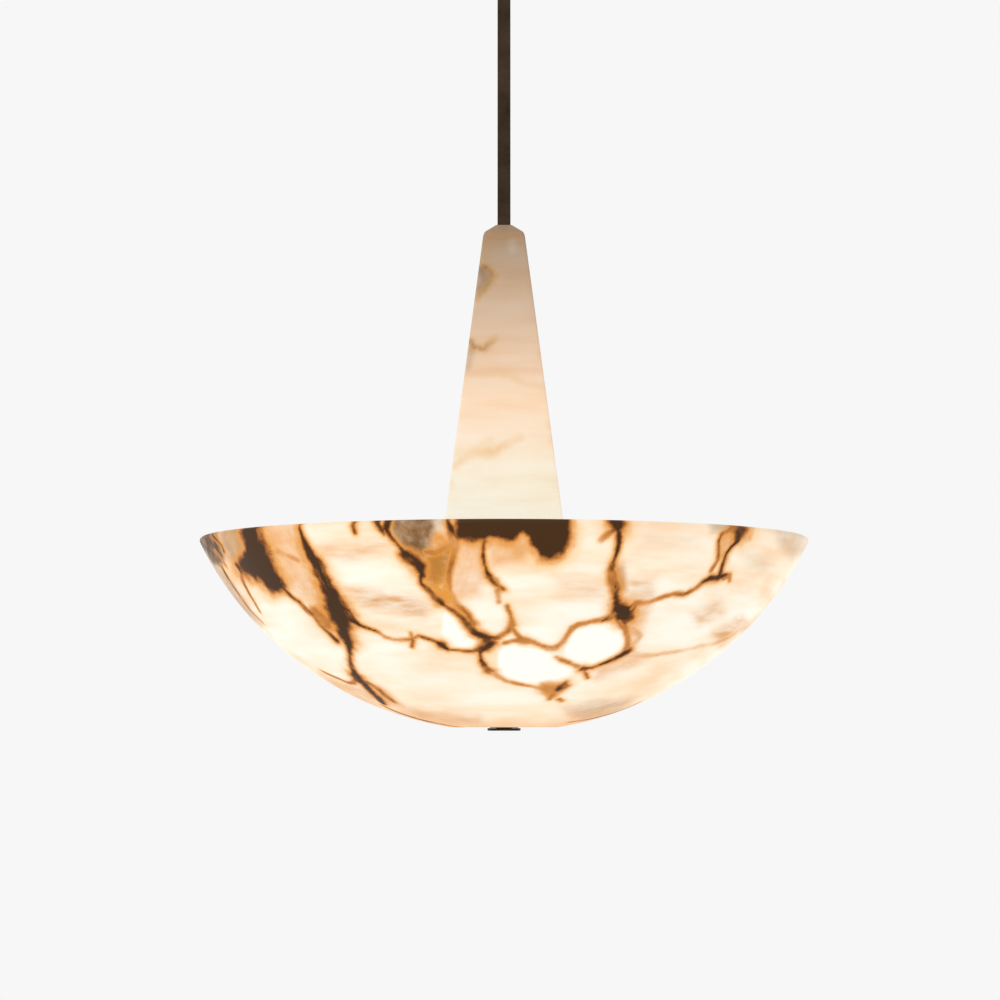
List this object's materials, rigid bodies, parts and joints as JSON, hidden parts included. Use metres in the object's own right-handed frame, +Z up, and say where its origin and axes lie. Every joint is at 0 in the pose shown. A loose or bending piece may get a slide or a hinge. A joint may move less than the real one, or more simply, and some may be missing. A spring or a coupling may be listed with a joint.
{
  "type": "pendant light",
  "caption": "Ceiling pendant: round canopy, hang-straight swivel, square rod, tapered square alabaster stem and a shallow round alabaster bowl with lamps inside.",
  "frame": {"origin": "middle of the crossbar's top face, where the lamp meets the ceiling", "axes": "+Z up into the ceiling, along the rod; +X along the crossbar's slots; -Y towards the viewer"},
  "size_m": [0.6018, 0.6018, 0.8684],
  "materials": {
    "dark_bronze": "satin",
    "zinc_steel": "satin",
    "brass": "satin",
    "white_plastic": "satin",
    "white_paint": "satin",
    "ceramic": "satin",
    "frosted_glass": "matte",
    "rubber": "matte",
    "lead_sheath": "satin",
    "alabaster_bowl": "satin",
    "alabaster_stem": "satin"
  },
  "bodies": {
    "ceiling_mount": {"mounting_crossbar": "zinc_steel", "canopy": "dark_bronze", "canopy_screws": "dark_bronze", "mounting_nipple": "zinc_steel", "nipple_nut": "zinc_steel", "earth_screw": "brass", "terminal_block": "white_plastic", "swivel_collar": "dark_bronze", "swivel_nut": "zinc_steel"},
    "swivel": {"swivel_yoke": "dark_bronze", "swivel_pin": "dark_bronze"},
    "pendant": {"rod_knuckle": "dark_bronze", "down_rod": "dark_bronze", "set_screw": "zinc_steel", "rod_coupling": "zinc_steel", "alabaster_stem": "alabaster_stem", "stem_base_plate": "white_paint", "stem_pads": "rubber", "stem_locknut": "zinc_steel", "central_tube": "zinc_steel", "supply_lead": "lead_sheath", "cluster_body": "white_paint", "cluster_cover": "white_paint", "cluster_nut": "zinc_steel", "spacer_tube": "white_paint", "steel_washer": "zinc_steel", "upper_gasket": "rubber", "alabaster_bowl": "alabaster_bowl", "lower_gasket": "rubber", "lamp_arm_1": "white_paint", "lampholder_1": "ceramic", "lamp_arm_2": "white_paint", "lampholder_2": "ceramic", "lamp_arm_3": "white_paint", "lampholder_3": "ceramic", "lamp_arm_4": "white_paint", "lampholder_4": "ceramic"},
    "finial": {"finial": "dark_bronze"},
    "lamp_1": {"lamp_1": "frosted_glass"},
    "lamp_2": {"lamp_2": "frosted_glass"},
    "lamp_3": {"lamp_3": "frosted_glass"},
    "lamp_4": {"lamp_4": "frosted_glass"}
  },
  "joints": [
    {"name": "swivel_turn", "type": "hinge", "parent": "ceiling_mount", "child": "swivel", "pos_m": [0, 0, -0.0343], "axis": [0, 0, 1], "range_deg": [-170, 170]},
    {"name": "rod_tilt", "type": "hinge", "parent": "swivel", "child": "pendant", "pos_m": [0, 0, -0.0527], "axis": [1, 0, 0], "range_deg": [-45, 45]},
    {"name": "finial_turn", "type": "hinge", "parent": "pendant", "child": "finial", "pos_m": [0, 0, -0.8658], "axis": [0, 0, 1], "range_deg": [0, 360]},
    {"name": "lamp_1_pull", "type": "slide", "parent": "pendant", "child": "lamp_1", "axis": [0.9659, 0, 0.2588], "range_m": [0, 0.009]},
    {"name": "lamp_2_pull", "type": "slide", "parent": "pendant", "child": "lamp_2", "axis": [0, 0.9659, 0.2588], "range_m": [0, 0.009]},
    {"name": "lamp_3_pull", "type": "slide", "parent": "pendant", "child": "lamp_3", "axis": [-0.9659, 0, 0.2588], "range_m": [0, 0.009]},
    {"name": "lamp_4_pull", "type": "slide", "parent": "pendant", "child": "lamp_4", "axis": [0, -0.9659, 0.2588], "range_m": [0, 0.009]}
  ]
}
